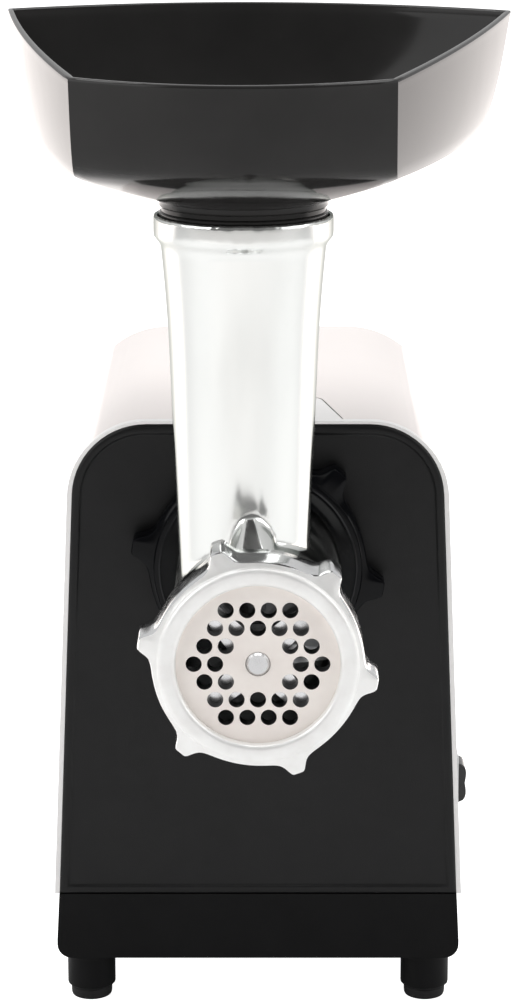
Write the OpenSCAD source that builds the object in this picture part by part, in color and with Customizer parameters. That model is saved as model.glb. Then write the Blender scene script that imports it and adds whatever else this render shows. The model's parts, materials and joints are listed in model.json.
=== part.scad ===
// Electric meat grinder: housing with motor and gearbox, cast grinding head, loading tray.
// X is to the right seen from the front, Y runs from front to back, Z is up from the table.

/* [Housing] */
// Height of the screw axis over the table
axis_z = 162.5; // [160:0.5:168]
// Height of the housing's top face
housing_top = 210; // [208:1:214]
// Half width of the housing at its base
base_half = 71; // [69:0.5:73]
// Depth of the housing behind the front panel's face
housing_depth = 186; // [184:1:200]
// Lean of the front panel's sides
panel_lean = 2.5; // [2:0.1:3]
// Radius of the front panel's top corners
front_corner_r = 25.5; // [22:0.5:30]
// Radius of the shell's top corners at the back
rear_corner_r = 35; // [30:1:40]
// Height of the seam between the base and the panel
seam_z = 41; // [38:1:44]
// Wall thickness of the plastic shells
shell_wall = 2.4; // [2:0.1:3]

/* [Feet] */
// Height of a foot, leg and pad together
foot_h = 17; // [15:1:18]
// Radius of a foot's leg
leg_r = 8.5; // [8.5:0.25:9.5]
// Radius of a foot's rubber pad
pad_r = 7.75; // [7:0.25:8]

/* [Grinding head] */
// Distance from the panel's face to the ring nut's front face
ring_front = 127; // [125:1:130]
// Inner radius of the barrel
barrel_bore_r = 24; // [23.5:0.5:24]
// Outer radius of the barrel
barrel_r = 27.5; // [27:0.5:28]
// Radius of the cutting plate
plate_r = 27; // [27:0.1:27]
// Thickness of the cutting plate
plate_t = 5; // [4.5:0.5:5.5]
// Radius of a hole in the cutting plate
plate_hole_r = 2.4; // [1.5:0.1:2.6]
// Distance between neighbouring holes of the cutting plate
plate_pitch = 6.5; // [6.4:0.1:6.6]
// Sideways offset of the feed tube from the screw axis
tube_x = -4.5; // [-5:0.5:0]
// Distance of the feed tube's axis in front of the panel's face
tube_y = -67; // [-70:1:-64]

/* [Loading tray] */
// Half width of the tray at its front corners
tray_front_half = 48; // [45:0.5:50]
// Half width of the tray at its rear corners
tray_rear_half = 84.5; // [80:0.5:86]
// Distance from the tube's axis to the tray's front corners
tray_front_reach = 55.5; // [53:0.5:58]
// Distance from the tube's axis to the tray's rear edge
tray_rear_reach = 88; // [84:1:92]
// Turn of the tray about the tube's axis
tray_yaw = -3; // [-5:1:5]
// Wall thickness of the tray
tray_wall = 2.4; // [2:0.1:3]

/* [Gear train] */
// Teeth of the motor pinion
motor_teeth = 10; // [10:1:10]
// Teeth of the first gear
first_teeth = 50; // [50:1:50]
// Teeth of the small pinions on the first and second gears
pinion_teeth = 12; // [12:1:12]
// Teeth of the second gear
second_teeth = 44; // [44:1:44]
// Teeth of the drive gear
drive_teeth = 46; // [46:1:46]

/* [Hidden] */

$fn = 72;
eps = 0.01;
// Place of the panel's face, so that the origin is under the middle of the whole object
panel_y = -26.5;
trim_w = 1.2;
shell_top = housing_top + trim_w;
panel_half = base_half - tan(panel_lean) * (seam_z - foot_h);
tub_wall = 2.6;
rear_lean = 0.2;
rear_plate_t = 6;
// Length by which the housing's outlines run straight on past both ends, before they are cut off
form_end = 20;
// Running clearance of a shaft in its bore
running = 0.06;
rear_screw_spots = [[-64.5, 52], [64.5, 52], [-56.5, 196.5], [56.5, 196.5]];
// Tongue of the trim that lies in the shell's top: half widths, ends and corner radius
tongue_front_half = 29.5;
tongue_back_half = 23;
tongue_front = 3.1;
tongue_back = 42.5;
tongue_corner_r = 6;

// Head and its fastening, measured along Y from the panel's face
socket_front = -6;
lock_front = -13.5;
lock_back = -1;
head_back = 8;
ring_lip_t = 3;
plate_front = -ring_front + ring_lip_t;
plate_back = plate_front + plate_t;
barrel_front = plate_front + 1.5;
knife_t = 6;
knife_back = plate_back + knife_t;
barrel_rear_wall = -18;
thread_r = 29;
plate_pin_r = 3.7;
journal_r = 8;
auger_core_r = 9.5;
hex_af = 11.6;
// Direction of the first lobe on both nuts
lobe_angle = 49.8;
tube_base_h = 10;
collar_low = 122;
collar_high = 129.9;
collar_r = 28.2;
collar_bore_r = 26.75;
neck_r = 26.45;
neck_bore_r = 22.4;
tube_wall = 2.8;

// Tray, heights over the screw axis
rim_front_h = 176.3;
rim_slope = 0.066;
front_bulge = 13;
rear_bulge = 18;
tray_floor_h = 134.5;

// Gear train
drive_module = 1.5;
second_module = 1.25;
first_module = 1;
drive_distance = (drive_teeth + pinion_teeth) / 2 * drive_module;
second_distance = (second_teeth + pinion_teeth) / 2 * second_module;
first_distance = (first_teeth + motor_teeth) / 2 * first_module;
drive_angle = -120;
second_angle = -18;
first_angle = -110;
drive_at = [0, axis_z];
second_at = drive_at + drive_distance * [cos(drive_angle), sin(drive_angle)];
first_at = second_at + second_distance * [cos(second_angle), sin(second_angle)];
motor_at = first_at + first_distance * [cos(first_angle), sin(first_angle)];
drive_gear_y = 30;
drive_gear_t = 12;
second_gear_y = 45;
second_gear_t = 9;
first_gear_y = 58;
first_gear_t = 9;
axle_r = 3.5;
case_back = 71;
case_wall_t = 4;
cover_y = 24;
cover_t = 4;
ear_spots = [
    drive_at + 41 * [cos(45), sin(45)],
    drive_at + 41 * [cos(135), sin(135)],
    second_at + 34 * [cos(215), sin(215)],
    first_at + 32 * [cos(-20), sin(-20)]
];

// Motor, along Y
shaft_r = 4;
stack_y = 98;
stack_t = 38;
stator_w = 66;
stator_h = 60;
stator_bore_r = 20.6;
armature_r = 20;
slots = 12;
front_bracket_y = 76;
rear_bracket_y = 162;
bracket_t = 4;
bearing_r = 8;
commutator_y = 146;
commutator_t = 11;
commutator_r = 11;
motor_screw_x = 30.5;
floor_z = foot_h + tub_wall;
saddle_z = motor_at[1] - stator_h / 2 - 4;

// Switch on the right side
switch_y = 35;
switch_z = 72;
switch_face = 71.6;
rocker_r = 8.7;
rocker_half = 7.4;
rocker_hump_z = 3.7;

// Cord gland on the back
gland_x = 38;
gland_z = 62;
cord_hole_r = 3.6;

// ---------- placing and turning ----------

module in_housing() translate([0, panel_y, 0]) children();

module on_axis() translate([0, panel_y, axis_z]) children();

module at_xz(p) translate([p[0], panel_y, p[1]]) children();

module on_tube() translate([tube_x, panel_y + tube_y, axis_z]) children();

// Extrudes a flat XZ outline from y0 backwards over t
module slab(y0, t) translate([0, y0 + t, 0]) rotate([90, 0, 0]) linear_extrude(t) children();

// Cylinder along Y, from y0 backwards over t
module rod(y0, t, r) translate([0, y0 + t, 0]) rotate([90, 0, 0]) cylinder(h = t, r = r);

// Turned solid about the Y axis from a list of [radius, y]
module turned(profile) rotate([90, 0, 0]) rotate_extrude()
    polygon([for (p = profile) [p[0], -p[1]]]);

module hex_rod(y0, t, af) translate([0, y0 + t, 0]) rotate([90, 0, 0])
    cylinder(h = t, r = af / sqrt(3), $fn = 6);

// Part of a flat ring between two radii and two angles
module ring_sector(r1, r2, a1, a2, n = 16) polygon(concat(
    [for (i = [0:n]) let (a = a1 + (a2 - a1) * i / n) r2 * [cos(a), sin(a)]],
    [for (i = [n:-1:0]) let (a = a1 + (a2 - a1) * i / n) r1 * [cos(a), sin(a)]]
));

// ---------- housing outlines ----------

// Front view of the housing: leaning sides, level top, round top corners
function body_outline(half, lean, corner, z0, z1, n = 14) =
    let (
        cz = z1 - corner,
        cx = half - tan(lean) * (cz + corner * sin(lean) - z0) - corner * cos(lean),
        right = concat([[half, z0]], [for (i = [0:n])
            let (a = lean + (90 - lean) * i / n) [cx + corner * cos(a), cz + corner * sin(a)]]),
        count = len(right)
    )
    concat(right, [for (i = [count - 1:-1:0]) [-right[i][0], right[i][1]]]);

// Solid between the front and back outlines, pulled in by inset on every side
module body_form(inset, y0, y1, z0 = foot_h) {
    front = body_outline(base_half + trim_w - inset, panel_lean, front_corner_r + trim_w - inset,
        z0, shell_top - inset);
    back = body_outline(base_half - inset, rear_lean, rear_corner_r - inset, z0, shell_top - inset);
    intersection() {
        hull() {
            slab(-form_end, form_end) polygon(front);
            slab(housing_depth, form_end) polygon(back);
        }
        translate([-100, y0, 0]) cube([200, y1 - y0, 300]);
    }
}

// Tongue's plan, grown by grow: tapering sides and two round corners at the back
module trapezoid_tongue(grow, z0, t) {
    cx = tongue_back_half + grow - tongue_corner_r;
    cy = tongue_back + grow - tongue_corner_r;
    right = concat([[tongue_front_half + grow, tongue_front]],
        [for (a = [10:16:90]) [cx + tongue_corner_r * cos(a), cy + tongue_corner_r * sin(a)]]);
    translate([0, 0, z0]) linear_extrude(t) polygon(concat(right,
        [for (i = [len(right) - 1:-1:0]) [-right[i][0], right[i][1]]]));
}

// ---------- housing pieces ----------

module front_panel() color("#1d1e20") in_housing() difference() {
    slab(0, 3) polygon(body_outline(panel_half, panel_lean, front_corner_r, seam_z, housing_top));
    // Sunk face inside the border
    slab(-eps, 0.6) offset(delta = -3.2) polygon(
        body_outline(panel_half, panel_lean, front_corner_r, seam_z, housing_top));
    translate([0, 0, axis_z]) rod(-1, 5, thread_r + 1.3);
}

module front_trim() color("#d9d9d8") in_housing() union() {
    difference() {
        body_form(0, 0.8, 4.8);
        body_form(2.3, -1, 6, foot_h - 1);
        slab(-1, 4.2) polygon(
            body_outline(base_half + 0.05, panel_lean, front_corner_r + 0.3, foot_h - 1, housing_top + 0.2));
        translate([-100, -1, 0]) cube([200, 8, seam_z]);
    }
    trapezoid_tongue(-0.5, shell_top - 1.9, 1.9);
}

module top_shell() color("#e6e4e2") in_housing() difference() {
    union() {
        difference() {
            body_form(0, 4.9, housing_depth - 3);
            body_form(shell_wall, 0, housing_depth, foot_h - 1);
        }
        for (p = rear_screw_spots)
            translate([p[0], 0, p[1]]) rod(housing_depth - 28, 21.9, 4.5);
        for (p = base_screw_spots)
            translate([p[0], p[1], seam_z]) cylinder(h = 14, r = 4.6);
    }
    for (p = rear_screw_spots)
        translate([p[0], 0, p[1]]) rod(housing_depth - 20, 20, 1.5);
    for (p = base_screw_spots)
        translate([p[0], p[1], seam_z - 1]) cylinder(h = 12, r = 1.5);
    translate([-100, -1, 0]) cube([200, housing_depth + 2, seam_z + 0.1]);
    trapezoid_tongue(0, shell_top - 2.1, 5);
    trapezoid_tongue(-2.5, shell_top - 6, 10);
    translate([60, switch_y - 6.7, switch_z - 9.8]) cube([20, 13.4, 19.6]);
    translate([switch_face - 2.2, switch_y - 7.5, switch_z - 10.3]) cube([20, 15, 20.6]);
}

module rear_cover() color("#232427") in_housing() difference() {
    union() {
        body_form(0.6, housing_depth - 2.9, housing_depth);
        body_form(shell_wall + 0.1, housing_depth - rear_plate_t, housing_depth - 2.8);
    }
    body_form(shell_wall + 2.2, housing_depth - rear_plate_t - 1, housing_depth - 2.4);
    translate([-100, 0, 0]) cube([200, 300, seam_z + 0.1]);
    // Cooling slots
    for (i = [0:8])
        translate([-34, housing_depth - 8, 96 + 9 * i]) cube([68, 12, 4]);
    translate([gland_x, 0, gland_z]) rod(housing_depth - 8, 12, 6);
    for (p = rear_screw_spots)
        translate([p[0], 0, p[1]]) rod(housing_depth - 10, 12, 1.6);
}

// Outline of the base band with rounded lower corners
module base_outline(half, lean, r, z0, z1) polygon(concat(
    [[half - tan(lean) * (z1 - z0), z1]],
    [for (i = [0:6]) let (a = -90 * i / 6) [half - r + r * cos(a), z0 + r + r * sin(a)]],
    [for (i = [6:-1:0]) let (a = -90 * i / 6) [-half + r - r * cos(a), z0 + r + r * sin(a)]],
    [[-half + tan(lean) * (z1 - z0), z1]]
));

module base_form(inset, y0, y1) intersection() {
    hull() {
        slab(-form_end, form_end) base_outline(base_half - inset, panel_lean, 5, foot_h + inset, seam_z);
        slab(housing_depth, form_end) base_outline(base_half - inset, rear_lean, 5, foot_h + inset, seam_z);
    }
    translate([-100, y0, 0]) cube([200, y1 - y0, 300]);
}

foot_spots = [for (x = [-59.5, 59.5], y = [9.5, housing_depth - 12]) [x, y]];
base_screw_spots = [for (x = [-64.2, 64.2], y = [34, housing_depth - 36]) [x, y]];

module base_tub() color("#17181a") in_housing() difference() {
    union() {
        difference() {
            base_form(0, 0, housing_depth);
            base_form(tub_wall, tub_wall, housing_depth - tub_wall);
            translate([-60, tub_wall, seam_z - 1]) cube([120, housing_depth - 2 * tub_wall, 5]);
        }
        for (p = base_screw_spots)
            translate([p[0], p[1], foot_h + 1]) cylinder(h = seam_z - foot_h - 1, r = 4.2);
        for (p = foot_spots)
            translate([p[0], p[1], foot_h + 1]) cylinder(h = 8, r = 4.5);
    }
    for (p = base_screw_spots)
        translate([p[0], p[1], 0]) cylinder(h = 80, r = 1.6);
    for (p = base_screw_spots)
        translate([p[0], p[1], 0]) cylinder(h = foot_h + 2, r = 3.2);
    for (p = foot_spots)
        translate([p[0], p[1], 0]) cylinder(h = 80, r = 1.6);
    // Air inlet slots in the floor
    for (i = [0:5])
        translate([-24, 80 + 14 * i, foot_h - 1]) cube([48, 5, 6]);
}

module foot_legs() color("#141516") in_housing() for (p = foot_spots)
    translate([p[0], p[1], 0]) difference() {
        translate([0, 0, 4.5]) cylinder(h = foot_h - 4.5, r = leg_r);
        translate([0, 0, 4]) cylinder(h = 5, r = pad_r);
        cylinder(h = foot_h + 1, r = 1.6);
    }

module foot_pads() color("#0d0d0e") in_housing() for (p = foot_spots)
    translate([p[0], p[1], 0]) rotate_extrude() polygon(concat(
        [[0, 0], [pad_r - 3, 0]],
        [for (i = [1:5]) let (a = -90 + 18 * i) [pad_r - 3 + 3 * cos(a), 3 + 3 * sin(a)]],
        [[pad_r, 8.9], [0, 8.9]]
    ));

// Countersunk-pan screw, head down, its point up
module screw_up(len, r, head_r, head_t) {
    cylinder(h = len, r = r);
    translate([0, 0, -head_t]) difference() {
        cylinder(h = head_t, r = head_r);
        for (a = [0, 90])
            rotate(a) translate([-head_r * 0.6, -0.35, -1]) cube([head_r * 1.2, 0.7, 1.8]);
    }
}

module base_screws() color("#8a8c8e") in_housing() for (p = base_screw_spots)
    translate([p[0], p[1], foot_h + 2]) screw_up(30, 1.5, 2.9, 1.8);

module rear_screws() color("#8a8c8e") in_housing() for (p = rear_screw_spots)
    translate([p[0], housing_depth, p[1]]) rotate([90, 0, 0]) screw_up(15, 1.5, 2.9, 1.8);

// ---------- switch and cord inlet ----------

module switch_bezel() color("#c9cacb") in_housing() translate([switch_face - 2.2, switch_y, switch_z])
    difference() {
        translate([0, -7.4, -10.2]) cube([2.6, 14.8, 20.4]);
        translate([-1, -5.6, -9]) cube([5, 11.2, 18]);
    }

module switch_body() color("#202124") in_housing() translate([switch_face - 2.2, switch_y, switch_z])
    difference() {
        translate([-16, -6.5, -9.6]) cube([16, 13, 19.2]);
        translate([-13.5, -5.6, -9]) cube([14, 11.2, 18]);
        translate([-4, 7, 0]) rotate([90, 0, 0]) cylinder(h = 14, r = 1.2 + running, $fn = 32);
    }

// Height of the rocker's face over its pivot: two round humps with a waist between them
function rocker_x(z) = let (off = abs(z) - rocker_hump_z)
    off > 0 ? 6.7 + 2.8 * sqrt(max(0, 1 - pow(off / (rocker_half - rocker_hump_z), 2)))
        : 9.5 - 0.45 * pow(off / rocker_hump_z, 2);

// Rocker with its two pivot trunnions
module switch_rocker() color("#101112") in_housing() translate([switch_face - 6.2, switch_y, switch_z])
    union() {
        rotate([90, 0, 0]) translate([0, 0, -5.2]) linear_extrude(10.4) polygon(concat(
            [for (a = [100:-10.4:48]) rocker_r * [cos(a), sin(a)]],
            [for (i = [0:18]) let (z = rocker_half * (1 - i / 9)) [rocker_x(z), z]],
            [for (a = [48:10.4:100]) rocker_r * [cos(a), -sin(a)]]
        ));
        rotate([90, 0, 0]) translate([0, 0, -6.4]) cylinder(h = 12.8, r = 1.2, $fn = 32);
    }

module cord_gland() color("#151618") in_housing() translate([gland_x, 0, gland_z]) difference() {
    turned([[0, housing_depth - 7], [8.4, housing_depth - 7], [8.4, housing_depth - 3.1],
        [5.9, housing_depth - 3.1], [5.9, housing_depth + 0.1], [8.2, housing_depth + 0.1],
        [7.2, housing_depth + 2.4], [0, housing_depth + 2.4]]);
    rod(housing_depth - 10, 20, cord_hole_r);
}

// ---------- gear teeth ----------

pressure_angle = 25;
backlash = 0.16;

function involute(base, a) = base * [cos(a) + a * PI / 180 * sin(a), sin(a) - a * PI / 180 * cos(a)];
function turn(p, a) = [p[0] * cos(a) - p[1] * sin(a), p[0] * sin(a) + p[1] * cos(a)];
function flip(p) = [p[0], -p[1]];

// Outline of a spur gear with a tooth centred on +X
function gear_points(teeth, m) =
    let (
        pitch_r = teeth * m / 2,
        base = pitch_r * cos(pressure_angle),
        tip = pitch_r + 0.9 * m,
        root = pitch_r - 1.15 * m,
        low = max(base, root),
        inv_pitch = tan(pressure_angle) * 180 / PI - pressure_angle,
        half_tooth = 90 / teeth - backlash / 4 / pitch_r * 180 / PI,
        a_low = sqrt(pow(low / base, 2) - 1) * 180 / PI,
        a_tip = sqrt(pow(tip / base, 2) - 1) * 180 / PI,
        flank = [for (i = [0:5]) involute(base, a_low + (a_tip - a_low) * i / 5)],
        lower = [for (p = flank) turn(p, -half_tooth - inv_pitch)],
        tooth = concat(
            root < base ? [root * [cos(half_tooth + inv_pitch), -sin(half_tooth + inv_pitch)]] : [],
            lower,
            [for (i = [5:-1:0]) flip(lower[i])],
            root < base ? [root * [cos(half_tooth + inv_pitch), sin(half_tooth + inv_pitch)]] : []
        )
    )
    [for (k = [0:teeth - 1]) each [for (p = tooth) turn(p, k * 360 / teeth)]];

// Gear slab whose tooth, or gap, is centred on the given direction
module gear(teeth, m, y0, t, direction, gap = false) slab(y0, t)
    rotate(direction + (gap ? 180 / teeth : 0)) polygon(gear_points(teeth, m));

module drive_gear() color("#e8e2cf") at_xz(drive_at) difference() {
    union() {
        gear(drive_teeth, drive_module, drive_gear_y, drive_gear_t, drive_angle);
        rod(drive_gear_y - 1, drive_gear_t + 3.4, 14);
    }
    difference() {
        rod(drive_gear_y - eps, 3, 30);
        rod(drive_gear_y - 1, 5, 16);
    }
    hex_rod(drive_gear_y - 5, 30, 18);
}

module output_shaft() color("#9a9ca0") at_xz(drive_at) difference() {
    union() {
        rod(9.5, 19, 10);
        hex_rod(28.5, 17, 18);
        rod(45.5, 29, journal_r);
    }
    hex_rod(9, 13, hex_af + 0.5);
}

module second_gear() color("#8f9296") at_xz(second_at) difference() {
    union() {
        gear(second_teeth, second_module, second_gear_y, second_gear_t, second_angle);
        gear(pinion_teeth, drive_module, drive_gear_y, 13.5, drive_angle + 180, true);
        rod(43.4, 16, 6.2);
    }
    rod(drive_gear_y - 2, 40, axle_r + running);
}

module first_gear() color("#e8e2cf") at_xz(first_at) difference() {
    union() {
        gear(first_teeth, first_module, first_gear_y, first_gear_t, first_angle);
        gear(pinion_teeth, second_module, second_gear_y - 1, 12, second_angle + 180, true);
        rod(55.9, 11.5, 9);
    }
    rod(second_gear_y - 4, 40, axle_r + running);
}

module second_axle() color("#b5b7ba") at_xz(second_at) rod(25, 48, axle_r);

module first_axle() color("#b5b7ba") at_xz(first_at) rod(25, 48, axle_r);

module motor_pinion() color("#85888c") at_xz(motor_at) difference() {
    gear(motor_teeth, first_module, first_gear_y - 1, first_gear_t + 2, first_angle + 180, true);
    rod(first_gear_y - 3, 20, 2.4);
}

// ---------- gearbox ----------

// Outline round all four gear centres, drawn in at the given inset
module case_outline(inset) hull() {
    translate(drive_at) circle(39 - inset, $fn = 48);
    translate(second_at) circle(32 - inset, $fn = 48);
    translate(first_at) circle(30 - inset, $fn = 48);
    translate(motor_at) circle(12 - inset, $fn = 32);
}

module gearbox_case() color("#b9bbbd") in_housing() difference() {
    union() {
        slab(cover_y + cover_t, case_back + case_wall_t - cover_y - cover_t) case_outline(0);
        for (p = ear_spots)
            translate([p[0], 0, p[1]]) rod(cover_y + cover_t, 14, 4.5);
    }
    slab(cover_y, case_back - cover_y) case_outline(2.2);
    translate([0, 0, axis_z]) rod(case_back - 1, 8, 11);
    for (p = [first_at, second_at])
        translate([p[0], 0, p[1]]) rod(case_back - 1, 3, axle_r);
    translate([motor_at[0], 0, motor_at[1]]) rod(case_back - 1, 8, 6);
    for (p = ear_spots)
        translate([p[0], 0, p[1]]) rod(cover_y, 15, 1.5);
}

module gearbox_cover() color("#b9bbbd") in_housing() difference() {
    union() {
        slab(cover_y, cover_t) case_outline(0);
        for (p = ear_spots)
            translate([p[0], 0, p[1]]) rod(cover_y, cover_t, 4.5);
    }
    translate([0, 0, axis_z]) rod(cover_y - 1, 8, 13);
    for (p = [first_at, second_at])
        translate([p[0], 0, p[1]]) rod(25, 8, axle_r);
    for (p = ear_spots)
        translate([p[0], 0, p[1]]) rod(cover_y - 1, 15, 1.5);
}

module gearbox_screws() color("#8a8c8e") in_housing() for (p = ear_spots)
    translate([p[0], cover_y, p[1]]) rotate([-90, 0, 0]) screw_up(15, 1.5, 2.9, 1.8);

module output_bushes() color("#b08d57") on_axis() {
    difference() {
        rod(cover_y, cover_t, 13);
        rod(cover_y - 1, 9, 10 + running);
    }
    difference() {
        rod(case_back - 1.5, 5.5, 11);
        rod(case_back - 3, 9, journal_r + running);
    }
}

// Fixed ring that the head plugs into, with the lock nut's thread outside
module head_socket() color("#2a2b2e") on_axis() difference() {
    union() {
        rod(socket_front, cover_y - socket_front, thread_r + 1);
        rod(3, cover_y - 3, 36);
    }
    rod(socket_front - 1, 40, barrel_bore_r + 0.25);
}

// ---------- motor ----------

module bracket_shape() difference() {
    union() {
        square([stator_w, 20], center = true);
        circle(15);
    }
    circle(bearing_r);
    for (s = [-1, 1])
        translate([s * motor_screw_x, 0]) circle(1.6);
}

// Motor bearing bridge: plate at y0, two legs reaching to the stator
module motor_bracket(y0, leg_y, leg_t) union() {
    slab(y0, bracket_t) bracket_shape();
    for (s = [-1, 1])
        difference() {
            translate([s * motor_screw_x - 2.5, leg_y, -6]) cube([5, leg_t, 12]);
            translate([s * motor_screw_x, 0, 0]) rod(leg_y - 1, leg_t + 2, 1.6);
        }
}

module front_bracket() color("#a7a9ac") at_xz(motor_at)
    motor_bracket(front_bracket_y, front_bracket_y + bracket_t, stack_y - front_bracket_y - bracket_t);

module rear_bracket() color("#a7a9ac") at_xz(motor_at)
    motor_bracket(rear_bracket_y, stack_y + stack_t, rear_bracket_y - stack_y - stack_t);

module motor_screws() color("#8a8c8e") at_xz(motor_at) for (s = [-1, 1])
    translate([s * motor_screw_x, rear_bracket_y + bracket_t, 0]) rotate([90, 0, 0])
        screw_up(rear_bracket_y + bracket_t - front_bracket_y, 1.5, 3, 2);

module motor_bearings() color("#c4c6c9") at_xz(motor_at)
    for (y = [front_bracket_y - 1, rear_bracket_y - 1]) difference() {
        rod(y, 6, bearing_r);
        rod(y - 1, 8, shaft_r + running);
        difference() {
            rod(y - 1, 1.5, 7);
            rod(y - 2, 4, 5);
        }
    }

module motor_shaft() color("#b5b7ba") at_xz(motor_at) union() {
    rod(57, 12.5, 2.4);
    rod(69.5, 102, shaft_r);
}

module motor_stator() color("#6f7174") at_xz(motor_at) slab(stack_y, stack_t) difference() {
    intersection() {
        square([stator_w, stator_h], center = true);
        circle(40);
    }
    circle(stator_bore_r);
    ring_sector(stator_bore_r - 1, 26.5, -36, 36);
    ring_sector(stator_bore_r - 1, 26.5, 144, 216);
    for (s = [-1, 1])
        translate([s * motor_screw_x, 0]) circle(1.6);
}

// One coil: two sides in the slots and two end turns over the pole
module field_coil() union() {
    for (a = [3, 147])
        slab(stack_y - 4, stack_t + 8) ring_sector(21.2, 26, a, a + 30, 6);
    for (y = [stack_y - 8, stack_y + stack_t + 1])
        slab(y, 7) ring_sector(21.2, 27.5, 3, 177, 24);
}

module field_coils() color("#a4552c") at_xz(motor_at) for (a = [0, 180])
    rotate([0, a, 0]) field_coil();

module armature_core() color("#77797c") at_xz(motor_at) slab(stack_y, stack_t) difference() {
    circle(armature_r);
    circle(shaft_r);
    for (k = [0:slots - 1])
        rotate(k * 360 / slots) translate([11, -1.5]) square([12, 3]);
}

module armature_windings() color("#b5622f") at_xz(motor_at) difference() {
    union() {
        turned([[shaft_r, stack_y - 7.5], [13, stack_y - 7.5], [18, stack_y - 4], [18, stack_y],
            [shaft_r, stack_y]]);
        turned([[shaft_r, stack_y + stack_t], [18, stack_y + stack_t], [18, stack_y + stack_t + 4],
            [12, stack_y + stack_t + 7.5], [shaft_r, stack_y + stack_t + 7.5]]);
        for (k = [0:slots - 1])
            rotate([0, k * 360 / slots, 0]) translate([11.3, stack_y - 1, -1.3])
                cube([6.5, stack_t + 2, 2.6]);
    }
    rod(stack_y - 20, 90, shaft_r);
}

module commutator() color("#b87333") at_xz(motor_at) slab(commutator_y, commutator_t) difference() {
    circle(commutator_r);
    circle(shaft_r);
    for (k = [0:2 * slots - 1])
        rotate(k * 180 / slots) translate([8.5, -0.25]) square([4, 0.5]);
}

module cooling_fan() color("#2f3033") at_xz(motor_at) difference() {
    union() {
        rod(82, 1.6, 24);
        rod(81.5, 7, 8);
        for (k = [0:8])
            rotate([0, k * 40, 0]) translate([7, 83, -0.7]) cube([16.8, 5, 1.4]);
    }
    rod(80, 12, shaft_r);
}

module brush_holders() color("#6e4a2a") at_xz(motor_at) for (s = [0, 180]) rotate([0, s, 0])
    difference() {
        translate([12.2, commutator_y + 1, -4.5]) cube([15.8, 9, 9]);
        translate([10, commutator_y + 2.4, -3.1]) cube([16, 6.2, 6.2]);
    }

module carbon_brushes() color("#2b2b2d") at_xz(motor_at) for (s = [0, 180]) rotate([0, s, 0])
    difference() {
        translate([10, commutator_y + 2.5, -3]) cube([9, 6, 6]);
        rod(commutator_y, commutator_t, commutator_r + 0.05);
    }

module brush_springs() color("#c9a24b") at_xz(motor_at) for (s = [0, 180]) rotate([0, s, 0])
    for (i = [0:3])
        translate([19.7 + 1.8 * i, commutator_y + 5.5, 0]) rotate([0, 90, 0])
            rotate_extrude($fn = 24) translate([1.6, 0]) circle(0.5, $fn = 13);

// Sheet-steel saddle on two feet that carries the stator
module motor_cradle() color("#9da0a3") in_housing() difference() {
    union() {
        for (s = [-1, 1])
            translate([motor_at[0] + s * 22 - 1, stack_y + 4, floor_z]) cube([2, 30, saddle_z - floor_z]);
        translate([motor_at[0] - 23, stack_y + 4, saddle_z]) cube([46, 30, 2]);
        for (s = [-1, 1])
            translate([motor_at[0] + (s > 0 ? 21 : -34), stack_y + 4, floor_z]) cube([13, 30, 1.8]);
    }
    translate([motor_at[0], stack_y + 19, 0]) cylinder(h = 90, r = 6);
}

module cradle_pads() color("#1b1b1c") in_housing() for (s = [-1, 1])
    translate([motor_at[0] + s * 16 - 5, stack_y + 6, saddle_z + 2]) cube([10, 26, 2]);

module terminal_board() color("#2c5a3c") in_housing() union() {
    translate([-44, 152, floor_z + 4]) cube([44, 26, 1.6]);
    for (x = [-41, -4], y = [155, 175])
        translate([x, y, floor_z]) cylinder(h = 4, r = 2.2);
    for (x = [-38, -29])
        translate([x, 156, floor_z + 5.6]) cube([7, 10, 8]);
}

module capacitor() color("#c9a13b") in_housing()
    translate([-20, 156, floor_z + 5.6]) cube([16, 10, 13]);

// ---------- grinding head ----------

// Outer radius of the feed tube at a height over the screw axis
function tube_r(h) = 20 + 0.04 * h + 1.1 * pow(max(0, (h - 84) / 35), 2);

module feed_tube_outer() on_tube() rotate_extrude() polygon(concat(
    [[0, tube_base_h]],
    [for (i = [0:16]) let (h = tube_base_h + (collar_low - 2 - tube_base_h) * i / 16) [tube_r(h), h]],
    [[collar_r - 0.6, collar_low], [collar_r, collar_low + 0.8], [collar_r, collar_high - 0.8],
     [collar_r - 0.8, collar_high], [0, collar_high]]
));

module feed_tube_inner() on_tube() rotate_extrude() polygon(concat(
    [[0, 0]],
    [for (i = [0:10]) let (h = (collar_low + 0.5) * i / 10) [tube_r(h) - tube_wall, h]],
    [[collar_bore_r, collar_low + 0.5], [collar_bore_r, collar_high + 1], [0, collar_high + 1]]
));

// Barrel of the cast head, with its thread in front and its plug behind
module head_body() color("#d6d7d8") difference() {
    on_axis() turned([[0, barrel_front], [thread_r - 0.6, barrel_front], [thread_r, barrel_front + 1],
        [thread_r, barrel_front + 15], [barrel_r, barrel_front + 16], [barrel_r, -12.5],
        [thread_r - 1.2, -10.2], [thread_r + 0.6, -10], [thread_r + 0.6, socket_front],
        [barrel_bore_r, socket_front], [barrel_bore_r, head_back - 1], [barrel_bore_r - 1, head_back],
        [0, head_back]]);
    feed_tube_inner();
    on_axis() {
        rod(barrel_front - 1, barrel_rear_wall - barrel_front + 1, barrel_bore_r);
        rod(barrel_front - 1, plate_back - barrel_front + 1, plate_r + 0.15);
        rod(barrel_rear_wall - 5, 60, journal_r + running);
        difference() {
            rod(socket_front + 3, 20, 21);
            rod(socket_front + 2, 22, 12.5);
        }
        // Slot for the plate's key
        translate([0, plate_back + 1, plate_r]) rotate([90, 0, 0]) cylinder(h = 20, r = 1.5, $fn = 32);
    }
}

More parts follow.
